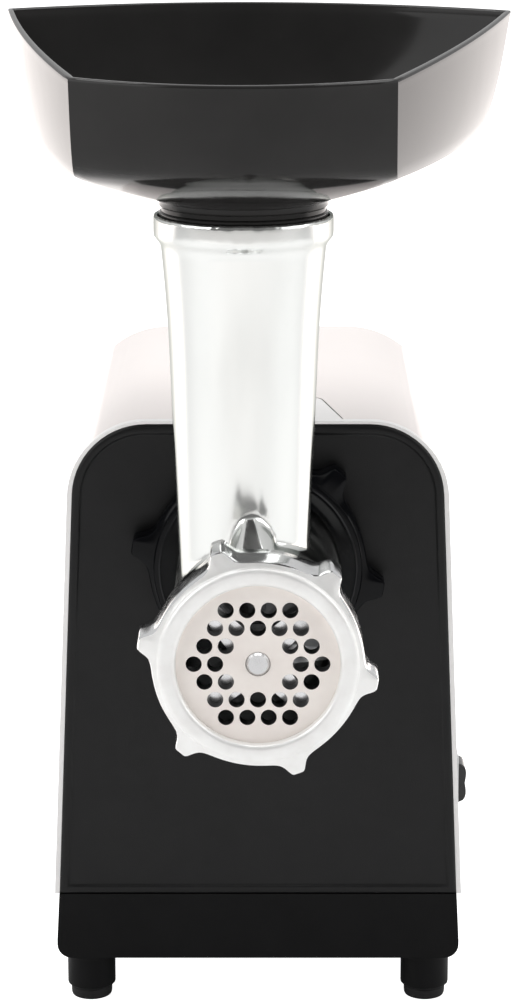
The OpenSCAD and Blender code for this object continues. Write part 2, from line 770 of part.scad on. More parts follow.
// Upright part of the casting, down to the barrel's outside, with its gusset
module feed_tube() color("#d6d7d8") difference() {
    union() {
        feed_tube_outer();
        on_axis() hull() {
            translate([tube_x + 2, tube_y - 18.5, 36]) sphere(3, $fn = 24);
            translate([tube_x + 3, tube_y - 22, 27]) rotate([0, 90, 0])
                cylinder(h = 13, r = 3, center = true, $fn = 24);
            translate([tube_x + 3, tube_y - 32, 24]) rotate([0, 90, 0])
                cylinder(h = 9, r = 2.5, center = true, $fn = 24);
            translate([tube_x + 1, tube_y - 8, 22]) sphere(7, $fn = 24);
        }
    }
    feed_tube_inner();
    on_axis() rod(barrel_front, -barrel_front, barrel_r);
}

module plate_key() color("#8f9296") on_axis() translate([0, plate_back + 1, plate_r]) rotate([90, 0, 0])
    cylinder(h = 4.5, r = 1.5, $fn = 32);

// Core of the auger, with the disc that closes the barrel behind it
module auger() color("#c2c4c6") on_axis() difference() {
    union() {
        rod(knife_back, -20 - knife_back, auger_core_r);
        rod(-23.5, 4.7, 18);
    }
    rod(knife_back - 10, 120, 5);
}

// Flight that winds round the core as a twisted bar
module auger_flight() color("#c2c4c6") on_axis() translate([0, -23.5, 0]) rotate([90, 0, 0])
    linear_extrude(height = -knife_back - 23.5, twist = 1080, slices = 90, convexity = 8, $fn = 6)
        polygon([[auger_core_r, -3.2], [barrel_bore_r - 0.9, -1.6], [barrel_bore_r - 0.9, 1.6],
            [auger_core_r, 3.2]]);

// Steel pin through the auger: journal and hexagon at the back, square and pin at the front
module auger_shaft() color("#aeb1b4") on_axis() union() {
    rod(knife_back, -18.8 - knife_back, 5);
    rod(-18, 27, journal_r);
    rod(-18.9, 1, 5);
    hex_rod(9 - eps, 11, hex_af);
    slab(plate_back + 0.2, knife_t - 0.2) square(9, center = true);
    turned([[0, plate_front - 0.6], [plate_pin_r - 0.7, plate_front - 0.6], [plate_pin_r, plate_front + 0.2],
        [plate_pin_r, plate_back + 0.3], [0, plate_back + 0.3]]);
}

module auger_washer() color("#e9e7e0") on_axis() difference() {
    rod(-18.75, 0.7, 12);
    rod(-20, 4, journal_r + 0.1);
}

// One cutting edge of the knife, along +X
module knife_blade() polygon([[3, -4.6], [9, -4.2], [21.5, -3.4], [22.5, 1.5], [17, 3.4], [9, 4.4], [3, 5]]);

module knife() color("#cfd1d3") on_axis() slab(plate_back + 0.1, knife_t - 0.1) difference() {
    union() {
        circle(8.5);
        for (a = [45:90:315])
            rotate(a) knife_blade();
    }
    square(9.1, center = true);
}

// Holes on a triangular grid: the second and third rings round the centre
module cutting_plate() color("#b9aea7") on_axis() difference() {
    rod(plate_front, plate_t, plate_r);
    rod(plate_front - 1, plate_t + 2, plate_pin_r + running);
    for (i = [-3:3], j = [-3:3])
        if (max(abs(i), abs(j), abs(i + j)) >= 2 && max(abs(i), abs(j), abs(i + j)) <= 3)
            translate([plate_pitch * (i + j / 2), 0, plate_pitch * sqrt(3) / 2 * j])
                rod(plate_front - 1, plate_t + 2, plate_hole_r);
    translate([-1.7, plate_front - 1, plate_r - 1.8]) cube([3.4, plate_t + 2, 5]);
}

// Radius of a lobed nut: six lobes with small flat tips and hollow flanks
function lobe_r(a, body, tip, flat, width) =
    let (
        off = abs((a - lobe_angle + 3630) % 60 - 30),
        d = max(0, off - flat)
    )
    body + (tip - body) / (1 + pow(d / width, 2.4));

module lobed(body, tip, flat, width, step = 1.25) polygon([for (i = [0:360 / step - 1])
    let (a = i * step) lobe_r(a, body, tip, flat, width) * [cos(a), sin(a)]]);

module ring_nut() color("#ededec") on_axis() difference() {
    union() {
        slab(-ring_front + 1.6, 17.4) lobed(32.2, 37, 2, 3.4);
        turned([[0, -ring_front], [29.6, -ring_front], [30.2, -ring_front + 0.6],
            [30.2, -ring_front + 4], [0, -ring_front + 4]]);
    }
    rod(plate_front - 10, 40, 25);
    rod(plate_front, 40, thread_r + 0.12);
    turned([[0, -ring_front - 1], [26.2, -ring_front - 1], [25, -ring_front + 1], [0, -ring_front + 1]]);
}

module lock_nut() color("#121315") on_axis() difference() {
    union() {
        slab(-11.4, lock_back + 11.4) lobed(36.8, 43.5, 2.6, 3.6);
        turned([[0, lock_front], [32.8, lock_front], [33.2, -12.9], [34.8, -12.7], [35.2, -11], [0, -11]]);
    }
    rod(lock_front - 1, 30, barrel_r + 0.35);
    turned([[0, lock_front - 1], [33.2, lock_front - 1], [barrel_r + 0.3, lock_front + 2.4],
        [0, lock_front + 2.4]]);
    rod(-10.35, 30, thread_r + 1.12);
}

// ---------- loading tray ----------

// Plan of the tray, pulled in by the wall, and by inset except at the front corners
function tray_plan(wall, inset) =
    let (
        fx = tray_front_half - 0.8 * wall,
        fy = -tray_front_reach + wall + 1.2 * inset,
        rx = tray_rear_half - wall - inset,
        ry = tray_rear_reach - wall - 1.6 * inset,
        side = [for (i = [0:8]) let (t = i / 8) [fx + (rx - fx) * t + 11 * t * (1 - t), fy + (ry - fy) * t]],
        front = [for (i = [1:9]) let (t = i / 10) [-fx + 2 * fx * t, fy - front_bulge * 4 * t * (1 - t)]],
        rear = [for (i = [1:9]) let (t = i / 10) [rx - 2 * rx * t, ry + rear_bulge * 4 * t * (1 - t)]]
    )
    concat(front, side, rear, [for (i = [8:-1:0]) [-side[i][0], side[i][1]]]);

// Thin slice of the tray at a height over the screw axis, rising towards the back
module tray_slice(wall, inset, h, slope) multmatrix([
    [1, 0, 0, 0], [0, 1, 0, 0], [0, slope, 1, h + slope * tray_front_reach], [0, 0, 0, 1]
]) linear_extrude(eps) polygon(tray_plan(wall, inset));

module tray_form(wall, lift) hull() {
    tray_slice(wall, 0, rim_front_h + lift, rim_slope);
    tray_slice(wall, 4, rim_front_h - 18.4, rim_slope * 0.6);
    tray_slice(wall, 7, rim_front_h - 26.1 + wall * 0.6, rim_slope * 0.25);
    tray_slice(wall, 12, rim_front_h - 30.7 + wall, 0);
    translate([0, 0, tray_floor_h + wall]) cylinder(h = 1, r = neck_r + 0.7 - wall * 0.4, $fn = 32);
}

module tray() color("#0f1011") on_tube() rotate(tray_yaw) difference() {
    tray_form(0, 0);
    tray_form(tray_wall, 3);
    translate([0, 0, collar_low]) cylinder(h = 30, r = neck_bore_r);
}

// Spigot under the tray that stands in the tube's collar, with a shallow groove over the collar
module tray_neck() color("#0f1011") on_tube() difference() {
    translate([0, 0, collar_low + 0.5]) cylinder(h = tray_floor_h - collar_low - 0.5, r = neck_r);
    translate([0, 0, collar_high + 0.6]) difference() {
        cylinder(h = 1.4, r = neck_r + 1);
        cylinder(h = 1.4, r = neck_r - 0.8);
    }
    translate([0, 0, collar_low]) cylinder(h = 30, r = neck_bore_r);
}

// ---------- assembly ----------

front_panel();
front_trim();
top_shell();
rear_cover();
base_tub();
foot_legs();
foot_pads();
base_screws();
rear_screws();
switch_bezel();
switch_body();
switch_rocker();
cord_gland();
head_socket();
gearbox_case();
gearbox_cover();
gearbox_screws();
output_bushes();
first_axle();
first_gear();
second_axle();
second_gear();
drive_gear();
output_shaft();
motor_pinion();
motor_shaft();
motor_bearings();
front_bracket();
rear_bracket();
motor_screws();
motor_stator();
field_coils();
armature_core();
armature_windings();
commutator();
cooling_fan();
brush_holders();
carbon_brushes();
brush_springs();
motor_cradle();
cradle_pads();
terminal_board();
capacitor();
head_body();
feed_tube();
auger();
auger_flight();
auger_shaft();
auger_washer();
knife();
plate_key();
cutting_plate();
ring_nut();
lock_nut();
tray();
tray_neck();
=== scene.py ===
"""Electric meat grinder: the visual pieces, materials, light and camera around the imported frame."""

import json
import math

import bmesh
import bpy
from mathutils import Matrix, Vector


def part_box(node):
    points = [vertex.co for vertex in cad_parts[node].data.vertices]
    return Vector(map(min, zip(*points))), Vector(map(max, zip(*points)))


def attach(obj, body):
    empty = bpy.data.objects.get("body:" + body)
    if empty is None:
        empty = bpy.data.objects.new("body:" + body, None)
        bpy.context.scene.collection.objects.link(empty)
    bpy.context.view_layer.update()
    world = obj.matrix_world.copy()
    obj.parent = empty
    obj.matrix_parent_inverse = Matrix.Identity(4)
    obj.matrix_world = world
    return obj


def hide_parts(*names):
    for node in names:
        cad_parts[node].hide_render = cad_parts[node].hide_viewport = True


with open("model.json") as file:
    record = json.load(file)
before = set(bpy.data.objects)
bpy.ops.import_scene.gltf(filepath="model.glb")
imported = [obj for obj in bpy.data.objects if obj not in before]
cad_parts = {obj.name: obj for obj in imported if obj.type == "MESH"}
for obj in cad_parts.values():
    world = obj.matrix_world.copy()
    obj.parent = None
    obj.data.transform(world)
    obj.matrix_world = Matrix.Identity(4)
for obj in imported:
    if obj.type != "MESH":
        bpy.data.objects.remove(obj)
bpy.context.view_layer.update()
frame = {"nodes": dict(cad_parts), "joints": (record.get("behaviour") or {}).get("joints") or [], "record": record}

MM = 0.001

# ---------- reference places, taken from the frame ----------

record = frame["record"]
joint_at = {j["name"]: Vector(j["pos_m"]) for j in frame["joints"] if "pos_m" in j}
mount_at = {m["name"]: Vector(m["pos_m"]) for m in record["mounts"]}

PANEL_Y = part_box("front_panel")[0].y
AXIS_Z = joint_at["screw_spin"].z
AXIS_X = joint_at["screw_spin"].x
TUBE = mount_at["pusher_neck"]
SEAM_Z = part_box("front_panel")[0].z
HOUSING_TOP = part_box("front_panel")[1].z
PANEL_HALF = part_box("front_panel")[1].x

# ---------- mesh building ----------

# Faces that meet at more than this many degrees keep a sharp edge between them
CREASE = 32.0
# CAD triangles that meet at less than this are one flat face
FLAT_ANGLE = math.radians(0.6)
MERGE_DISTANCE = 0.002 * MM
TURNED_STEPS = 64


def link(name, data):
    obj = bpy.data.objects.new(name, data)
    bpy.context.collection.objects.link(obj)
    return obj


def soften(mesh, angle=CREASE):
    """Smooth shading with sharp edges wherever two faces meet at more than the angle."""
    bm = bmesh.new()
    bm.from_mesh(mesh)
    bmesh.ops.recalc_face_normals(bm, faces=bm.faces)
    for face in bm.faces:
        face.smooth = True
    limit = math.radians(angle)
    for edge in bm.edges:
        edge.smooth = len(edge.link_faces) == 2 and edge.calc_face_angle(0.0) < limit
    bm.to_mesh(mesh)
    bm.free()


def mesh_object(name, verts, faces, angle=CREASE):
    mesh = bpy.data.meshes.new(name)
    mesh.from_pydata([tuple(v) for v in verts], [], faces)
    soften(mesh, angle)
    return link(name, mesh)


def grid_faces(rows, cols, close_rows=False):
    """Quads between closed rows of points that are stored row after row."""
    faces = []
    for i in range(rows if close_rows else rows - 1):
        for j in range(cols):
            k = (j + 1) % cols
            low, high = i * cols, ((i + 1) % rows) * cols
            faces.append((low + j, low + k, high + k, high + j))
    return faces


def upright(name, profile, centre):
    """Solid turned about a vertical line. The profile lists (radius, z) in mm, from axis to axis."""
    verts = []
    inner = profile[1:-1]
    for r, z in inner:
        for j in range(TURNED_STEPS):
            a = 2 * math.pi * j / TURNED_STEPS
            x, y = centre.x + r * MM * math.cos(a), centre.y + r * MM * math.sin(a)
            verts.append((x, y, centre.z + z * MM))
    faces = grid_faces(len(inner), TURNED_STEPS)
    for row, z in ((0, profile[0][1]), (len(inner) - 1, profile[-1][1])):
        tip = len(verts)
        first = row * TURNED_STEPS
        verts.append((centre.x, centre.y, centre.z + z * MM))
        for j in range(TURNED_STEPS):
            faces.append((first + j, first + (j + 1) % TURNED_STEPS, tip))
    return mesh_object(name, verts, faces)


def join(name, objects):
    """One object from several, with their world places kept in the mesh."""
    bm = bmesh.new()
    for obj in objects:
        start = len(bm.verts)
        bm.from_mesh(obj.data)
        bm.verts.ensure_lookup_table()
        bmesh.ops.transform(bm, matrix=obj.matrix_world, verts=bm.verts[start:])
    mesh = bpy.data.meshes.new(name)
    bm.to_mesh(mesh)
    bm.free()
    for obj in objects:
        bpy.data.objects.remove(obj)
    return link(name, mesh)


def clean_copy(node, name):
    """New object with the CAD node's shape, its flat faces merged into whole faces."""
    mesh = frame["nodes"][node].data.copy()
    if "custom_normal" in mesh.attributes:
        mesh.attributes.remove(mesh.attributes["custom_normal"])
    bm = bmesh.new()
    bm.from_mesh(mesh)
    bmesh.ops.remove_doubles(bm, verts=bm.verts, dist=MERGE_DISTANCE)
    bmesh.ops.dissolve_limit(bm, angle_limit=FLAT_ANGLE, verts=bm.verts, edges=bm.edges)
    bm.to_mesh(mesh)
    bm.free()
    mesh.materials.clear()
    return link(name, mesh)


def bake_modifiers(obj):
    """Applies the object's modifiers to its mesh."""
    graph = bpy.context.evaluated_depsgraph_get()
    mesh = bpy.data.meshes.new_from_object(obj.evaluated_get(graph))
    obj.modifiers.clear()
    obj.data = mesh


def rounded(obj, width, segments):
    """Rounds the object's edges; the faces between them keep their own flat or round shading."""
    soften(obj.data)
    bevel = obj.modifiers.new("bevel", "BEVEL")
    bevel.width = width * MM
    bevel.segments = segments
    bevel.limit_method = "ANGLE"
    bevel.angle_limit = math.radians(CREASE)
    bevel.use_clamp_overlap = True
    bevel.harden_normals = True
    bake_modifiers(obj)
    return obj


# ---------- materials ----------

# The colour sockets of a Mix node, which share their names with its other types
MIX_FIRST, MIX_SECOND, MIX_RESULT = 6, 7, 2

# Noise seldom leaves the first range. The second is the Pointiness where an edge starts and ends being worn
NOISE_LOW, NOISE_HIGH = 0.3, 0.7
WORN_FROM, WORN_TO = 0.52, 0.62
COAT_ROUGHNESS = 0.06
GRAIN_HEIGHT = 0.2 * MM
RING_HEIGHT = 0.1 * MM
RINGS_PER_METRE = 3.2


def surface(name, color, rough, metal=0.0, specular=0.5, coat=0.0, grain=0.0, grain_scale=1500.0,
            mottle=0.06, mottle_scale=35.0, rough_spread=0.04, stretch=(1.0, 1.0, 1.0), edge=0.0):
    """Procedural material: colour and roughness that vary softly, a fine grain, and lighter worn edges."""
    mat = bpy.data.materials.new(name)
    mat.use_nodes = True
    nodes, links = mat.node_tree.nodes, mat.node_tree.links
    shader = nodes["Principled BSDF"]
    shader.inputs["Metallic"].default_value = metal
    shader.inputs["Specular IOR Level"].default_value = specular
    shader.inputs["Coat Weight"].default_value = coat
    shader.inputs["Coat Roughness"].default_value = COAT_ROUGHNESS

    place = nodes.new("ShaderNodeTexCoord")
    mapping = nodes.new("ShaderNodeMapping")
    mapping.inputs["Scale"].default_value = stretch
    links.new(place.outputs["Object"], mapping.inputs["Vector"])

    def noise(scale, detail=3.0):
        node = nodes.new("ShaderNodeTexNoise")
        node.inputs["Scale"].default_value = scale
        node.inputs["Detail"].default_value = detail
        links.new(mapping.outputs["Vector"], node.inputs["Vector"])
        return node.outputs["Fac"]

    def spread(source, low, high):
        node = nodes.new("ShaderNodeMapRange")
        node.inputs["From Min"].default_value = NOISE_LOW
        node.inputs["From Max"].default_value = NOISE_HIGH
        node.inputs["To Min"].default_value = low
        node.inputs["To Max"].default_value = high
        links.new(source, node.inputs["Value"])
        return node.outputs["Result"]

    def mixed(factor, first, second):
        node = nodes.new("ShaderNodeMix")
        node.data_type = "RGBA"
        links.new(factor, node.inputs["Factor"])
        for socket, value in ((node.inputs[MIX_FIRST], first), (node.inputs[MIX_SECOND], second)):
            if hasattr(value, "links"):
                links.new(value, socket)
            else:
                socket.default_value = (*value, 1.0)
        return node.outputs[MIX_RESULT]

    dark = tuple(c * (1 - mottle) for c in color)
    light = tuple(min(1.0, c * (1 + mottle)) for c in color)
    tone = mixed(spread(noise(mottle_scale), 0.0, 1.0), dark, light)
    if edge:
        geometry = nodes.new("ShaderNodeNewGeometry")
        worn = nodes.new("ShaderNodeMapRange")
        worn.inputs["From Min"].default_value = WORN_FROM
        worn.inputs["From Max"].default_value = WORN_TO
        worn.inputs["To Max"].default_value = edge
        links.new(geometry.outputs["Pointiness"], worn.inputs["Value"])
        bare = tuple(min(1.0, c * 1.6 + 0.04) for c in color)
        tone = mixed(worn.outputs["Result"], tone, bare)
    links.new(tone, shader.inputs["Base Color"])
    links.new(spread(noise(mottle_scale * 2.7), rough - rough_spread, rough + rough_spread),
              shader.inputs["Roughness"])
    if grain:
        bump = nodes.new("ShaderNodeBump")
        bump.inputs["Strength"].default_value = grain
        bump.inputs["Distance"].default_value = GRAIN_HEIGHT
        links.new(noise(grain_scale, 2.0), bump.inputs["Height"])
        links.new(bump.outputs["Normal"], shader.inputs["Normal"])
    return mat


def turned_marks(mat, spacing, strength):
    """Adds the fine rings, spacing millimetres apart, that a lathe leaves about the screw's axis."""
    nodes, links = mat.node_tree.nodes, mat.node_tree.links
    shader = nodes["Principled BSDF"]
    place = nodes.new("ShaderNodeTexCoord")
    shift = nodes.new("ShaderNodeMapping")
    shift.inputs["Location"].default_value = (-AXIS_X, 0.0, -AXIS_Z)
    wave = nodes.new("ShaderNodeTexWave")
    wave.wave_type = "RINGS"
    wave.rings_direction = "Y"
    wave.inputs["Scale"].default_value = 1.0 / (spacing * MM) / RINGS_PER_METRE
    wave.inputs["Distortion"].default_value = 1.5
    wave.inputs["Detail"].default_value = 2.0
    bump = nodes.new("ShaderNodeBump")
    bump.inputs["Strength"].default_value = strength
    bump.inputs["Distance"].default_value = RING_HEIGHT
    links.new(place.outputs["Object"], shift.inputs["Vector"])
    links.new(shift.outputs["Vector"], wave.inputs["Vector"])
    links.new(wave.outputs["Fac"], bump.inputs["Height"])
    old = shader.inputs["Normal"].links
    if old:
        links.new(old[0].from_socket, bump.inputs["Normal"])
    links.new(bump.outputs["Normal"], shader.inputs["Normal"])
    return mat


def gloss_black():
    return surface("tray_gloss", (0.021, 0.0203, 0.0198), 0.10, specular=0.21, grain=0.012,
                   grain_scale=260.0, mottle=0.15, rough_spread=0.025)


def satin_black(name, tone, rough, specular):
    return surface(name, (tone, tone, tone * 1.05), rough, specular=specular, grain=0.16,
                   grain_scale=2200.0, mottle=0.12, mottle_scale=60.0)


def polished_casting():
    """Polished aluminium, darker at grazing angles so that it stands out from a white ground."""
    mat = surface("casting_polished", (0.86, 0.868, 0.85), 0.17, metal=1.0, grain=0.035, grain_scale=420.0,
                  mottle=0.035, mottle_scale=30.0, rough_spread=0.07, stretch=(1.0, 1.0, 0.25))
    shader = mat.node_tree.nodes["Principled BSDF"]
    shader.inputs["Specular Tint"].default_value = (0.3, 0.32, 0.31, 1.0)
    return mat


def satin_casting():
    return surface("casting_satin", (0.97, 0.96, 0.945), 0.38, metal=0.4, grain=0.22, grain_scale=650.0,
                   mottle=0.045, mottle_scale=160.0, rough_spread=0.08)


def ring_side():
    return surface("ring_side_polished", (0.80, 0.805, 0.81), 0.14, metal=1.0, grain=0.03,
                   grain_scale=600.0, mottle=0.08, mottle_scale=90.0, rough_spread=0.06)


def ground_plate():
    mat = surface("plate_ground", (0.97, 0.895, 0.845), 0.46, grain=0.05, grain_scale=1600.0,
                  mottle=0.05, mottle_scale=90.0)
    return turned_marks(mat, 0.3, 0.06)


def lock_black():
    return surface("lock_gloss", (0.0009, 0.0011, 0.0019), 0.2, specular=0.16, grain=0.03,
                   grain_scale=900.0, mottle=0.2, rough_spread=0.05, edge=0.08)


def shell_paint():
    return surface("shell_paint", (0.93, 0.865, 0.84), 0.36, metal=0.05, coat=0.35, grain=0.012,
                   grain_scale=2600.0, mottle=0.015, mottle_scale=14.0)


def trim_paint():
    return surface("trim_paint", (0.96, 0.945, 0.935), 0.34, metal=0.05, coat=0.2, mottle=0.03)


def rubber():
    return surface("foot_rubber", (0.012, 0.012, 0.0125), 0.55, specular=0.25, grain=0.25,
                   grain_scale=1400.0, mottle=0.2)


def steel(name, tone, rough, stretch=(1.0, 1.0, 1.0)):
    return surface(name, (tone, tone, tone * 1.01), rough, metal=1.0, grain=0.08, grain_scale=700.0,
                   mottle=0.06, mottle_scale=80.0, rough_spread=0.07, stretch=stretch, edge=0.2)


def plain_plastic(name, color, rough, grain=0.12):
    return surface(name, color, rough, grain=grain, grain_scale=1800.0, mottle=0.08, mottle_scale=60.0,
                   edge=0.12)


slot_materials = {
    "panel_black": satin_black("panel_satin", 0.0068, 0.36, 0.26),
    "base_black": satin_black("base_satin", 0.0062, 0.42, 0.1),
    "cover_black": satin_black("cover_satin", 0.018, 0.48, 0.35),
    "trim_silver": trim_paint(),
    "shell_silver": shell_paint(),
    "pad_rubber": rubber(),
    "screw_steel": steel("screw_zinc", 0.55, 0.34),
    "bezel_grey": plain_plastic("bezel_grey_satin", (0.55, 0.56, 0.57), 0.35),
    "switch_black": surface("switch_gloss", (0.012, 0.012, 0.0125), 0.18, grain=0.04, mottle=0.15,
                            edge=0.2),
    "socket_black": plain_plastic("socket_nylon", (0.022, 0.022, 0.024), 0.45),
    "die_cast": surface("die_cast", (0.60, 0.605, 0.61), 0.42, metal=1.0, grain=0.25, grain_scale=900.0,
                        mottle=0.08, mottle_scale=50.0, edge=0.15),
    "bush_bronze": surface("bush_bronze", (0.55, 0.38, 0.17), 0.38, metal=1.0, grain=0.2,
                           grain_scale=2400.0),
    "shaft_steel": steel("shaft_ground", 0.62, 0.22),
    "gear_nylon": plain_plastic("gear_nylon_natural", (0.74, 0.70, 0.58), 0.42),
    "gear_steel": steel("gear_sintered", 0.40, 0.38),
    "bearing_steel": steel("bearing_polished", 0.66, 0.14),
    "core_steel": surface("core_laminations", (0.24, 0.245, 0.25), 0.45, metal=1.0, grain=0.5,
                          grain_scale=160.0, mottle=0.12, stretch=(0.05, 9.0, 0.05)),
    "coil_copper": surface("coil_wire", (0.50, 0.17, 0.06), 0.28, metal=0.9, coat=0.5, grain=0.7,
                           grain_scale=420.0, mottle=0.2, stretch=(1.0, 0.08, 1.0)),
    "commutator_copper": surface("commutator_copper", (0.70, 0.33, 0.16), 0.3, metal=1.0, grain=0.1,
                                 mottle=0.12),
    "holder_brown": plain_plastic("holder_phenolic", (0.16, 0.075, 0.035), 0.45),
    "brush_carbon": plain_plastic("brush_carbon", (0.025, 0.025, 0.027), 0.55, 0.3),
    "spring_brass": surface("spring_brass", (0.70, 0.50, 0.20), 0.25, metal=1.0, grain=0.05),
    "cradle_steel": steel("cradle_zinc", 0.52, 0.36),
    "board_green": plain_plastic("board_green", (0.02, 0.10, 0.04), 0.4),
    "capacitor_yellow": surface("capacitor_resin", (0.60, 0.38, 0.05), 0.25, coat=0.3, grain=0.05),
    "cast_aluminium": polished_casting(),
    "ring_aluminium": satin_casting(),
    "auger_cast": surface("auger_cast", (0.62, 0.63, 0.64), 0.36, metal=1.0, grain=0.2, grain_scale=700.0,
                          mottle=0.08),
    "knife_steel": steel("knife_ground", 0.74, 0.2),
    "plate_steel": ground_plate(),
    "washer_nylon": plain_plastic("washer_nylon_white", (0.80, 0.79, 0.75), 0.4),
    "lock_black": lock_black(),
    "tray_black": gloss_black(),
}
node_slot = {s["node"]: s["material_slot"] for s in record["subparts"]}
node_body = {n: body for body, names in record["behaviour"]["bodies"].items() for n in names}

for node, obj in frame["nodes"].items():
    for holder in obj.material_slots:
        holder.material = slot_materials[node_slot[node]]


def stand_for(obj, *nodes):
    """Gives a visual piece the body and slot of the CAD nodes it replaces, and a material if it lacks one."""
    slot = node_slot[nodes[0]]
    if not obj.data.materials:
        obj.data.materials.append(slot_materials[slot])
    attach(obj, node_body[nodes[0]])
    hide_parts(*nodes)
    return obj


# ---------- clamping nuts ----------

LOBES = 6
LOBE_START = 49.8
FLANK_POWER = 2.4
NUT_STEPS = 540
NUT_CREASE = 34.0
RING_BODY_R, RING_TIP_R = 32.2, 37.0
RING_FRONT = -127.0
RING_FACE_R = 31.0
LOCK_BODY_R, LOCK_TIP_R = 36.8, 43.5


def around_screw(name, profile_at):
    """Closed ring about the screw's axis. profile_at(degrees) lists (radius, y) in mm from the panel."""
    columns = [profile_at(360.0 * i / NUT_STEPS) for i in range(NUT_STEPS)]
    rows = len(columns[0])
    verts = []
    for i in range(rows):
        for j, column in enumerate(columns):
            a = 2 * math.pi * j / NUT_STEPS
            r, y = column[i]
            verts.append((AXIS_X + r * MM * math.cos(a), PANEL_Y + y * MM, AXIS_Z + r * MM * math.sin(a)))
    return mesh_object(name, verts, grid_faces(rows, NUT_STEPS, close_rows=True), NUT_CREASE)


def lobe_radius(degrees, body, tip, flat, width):
    """Radius of a nut whose lobes have small flat tips and hollow flanks."""
    pitch = 360.0 / LOBES
    off = abs((degrees - LOBE_START + pitch / 2) % pitch - pitch / 2)
    return body + (tip - body) / (1 + (max(0.0, off - flat) / width) ** FLANK_POWER)


def ring_profile(degrees):
    """From the face's opening over the rounded rim and the lobe's tip, round the back to the bore."""
    front = RING_FRONT
    r = lobe_radius(degrees, RING_BODY_R, RING_TIP_R, 2.0, 3.4)
    out = (r - RING_BODY_R) / (RING_TIP_R - RING_BODY_R)
    lobe = front + 0.25 * out
    return [
        (25.0, front + 2.9), (25.0, front + 1.1), (25.35, front + 0.45), (26.0, front + 0.1), (26.6, front),
        (29.0, front), (29.7, front + 0.12), (30.25, front + 0.45), (30.55, front + 0.95),
        (30.75, front + 1.45), (31.15, front + 1.68), (r - 0.95, lobe + 1.75), (r - 0.35, lobe + 1.95),
        (r - 0.05, lobe + 2.6), (r + 0.05, front + 5.0), (r + 0.15, front + 11.0), (r + 0.1, front + 17.6),
        (r - 0.25, front + 18.5), (r - 0.95, front + 19.0), (29.7, front + 19.0), (29.12, front + 18.4),
        (29.12, front + 3.0),
    ]


def build_ring_nut():
    """The ring nut, satin on its face and polished on its rim and lobes."""
    ring = around_screw("clamp_ring", ring_profile)
    ring.data.materials.append(slot_materials["ring_aluminium"])
    ring.data.materials.append(ring_side())
    for face in ring.data.polygons:
        from_axis = math.hypot(face.center.x - AXIS_X, face.center.z - AXIS_Z)
        looks_sideways = abs(face.normal.y) < 0.6
        if looks_sideways and from_axis > RING_FACE_R * MM:
            face.material_index = 1
    stand_for(ring, "ring_nut")


def lock_profile(degrees):
    """From the bore's front over the stepped face and the lobe's tip, round the back to the bore."""
    r = lobe_radius(degrees, LOCK_BODY_R, LOCK_TIP_R, 2.6, 3.6)
    lobe = 0.3 * (r - LOCK_BODY_R) / (LOCK_TIP_R - LOCK_BODY_R)
    return [
        (27.85, -11.1), (28.6, -11.35), (30.2, -12.1), (31.9, -13.0), (32.6, -13.4), (33.2, -13.45),
        (33.6, -13.1), (33.85, -12.75), (34.4, -12.7), (35.0, -12.55), (35.3, -12.0), (35.5, -11.6),
        (r - 1.1, lobe - 11.4), (r - 0.4, lobe - 11.15), (r - 0.05, lobe - 10.4), (r, -8.0), (r, -2.2),
        (r - 0.3, -1.4), (r - 1.0, -1.0), (31.0, -1.0), (30.15, -1.6), (30.15, -10.3), (27.85, -10.35),
    ]


def build_lock_nut():
    stand_for(around_screw("lock_ring", lock_profile), "lock_nut")


# ---------- front panel ----------

PANEL_LEAN = math.radians(2.5)
PANEL_CORNER = 25.5
PANEL_THICK = 3.0
PANEL_SUNK = 0.6
PANEL_HOLE_R = 30.3
PANEL_CREASE = 50.0


def housing_outline(inset, arc=24, side=12, bottom=24):
    """Closed outline in mm: up the right side, over the top, down the left side, back along the bottom."""
    half, low, high = PANEL_HALF / MM - inset, SEAM_Z / MM + inset, HOUSING_TOP / MM - inset
    lean, corner = PANEL_LEAN, PANEL_CORNER - inset
    cz = high - corner
    cx = half - math.tan(lean) * (cz + corner * math.sin(lean) - low) - corner * math.cos(lean)
    turn = [lean + (math.pi / 2 - lean) * i / arc for i in range(arc + 1)]
    shoulder = [(cx + corner * math.cos(a), cz + corner * math.sin(a)) for a in turn]
    knee = shoulder[0]
    rise = [(half + (knee[0] - half) * i / side, low + (knee[1] - low) * i / side) for i in range(side)]
    right = rise + shoulder
    top = [(right[-1][0] * (1 - 2 * i / bottom), high) for i in range(1, bottom)]
    left = [(-x, z) for x, z in reversed(right)]
    base = [(-half + 2 * half * i / bottom, low) for i in range(1, bottom)]
    return right + top + left + base


def build_front_panel():
    """Rounded border, sunk field and the round hole for the head's socket."""
    centre_x, centre_z = AXIS_X / MM, AXIS_Z / MM

    def loop(inset, y):
        return [(x, y, z) for x, z in housing_outline(inset)]

    edge = [(0.0, PANEL_THICK), (0.0, 1.1), (0.12, 0.7), (0.4, 0.35), (0.85, 0.12), (1.5, 0.0), (2.5, 0.0),
            (2.8, 0.05), (3.05, 0.22), (3.3, 0.5), (3.6, PANEL_SUNK), (4.2, PANEL_SUNK)]
    rows = [loop(inset, y) for inset, y in edge]
    field = rows[-1]
    hole = []
    for x, _, z in field:
        a = math.atan2(z - centre_z, x - centre_x)
        hole.append((centre_x + PANEL_HOLE_R * math.cos(a), centre_z + PANEL_HOLE_R * math.sin(a)))
    for share in (0.25, 0.5, 0.75, 1.0):
        rows.append([(x + (hx - x) * share, PANEL_SUNK, z + (hz - z) * share)
                     for (x, _, z), (hx, hz) in zip(field, hole)])
    rows.append([(hx, PANEL_THICK, hz) for hx, hz in hole])
    verts = [(x * MM, PANEL_Y + y * MM, z * MM) for row in rows for x, y, z in row]
    faces = grid_faces(len(rows), len(rows[0]), close_rows=True)
    stand_for(mesh_object("panel_face", verts, faces, PANEL_CREASE), "front_panel")


# ---------- loading tray ----------

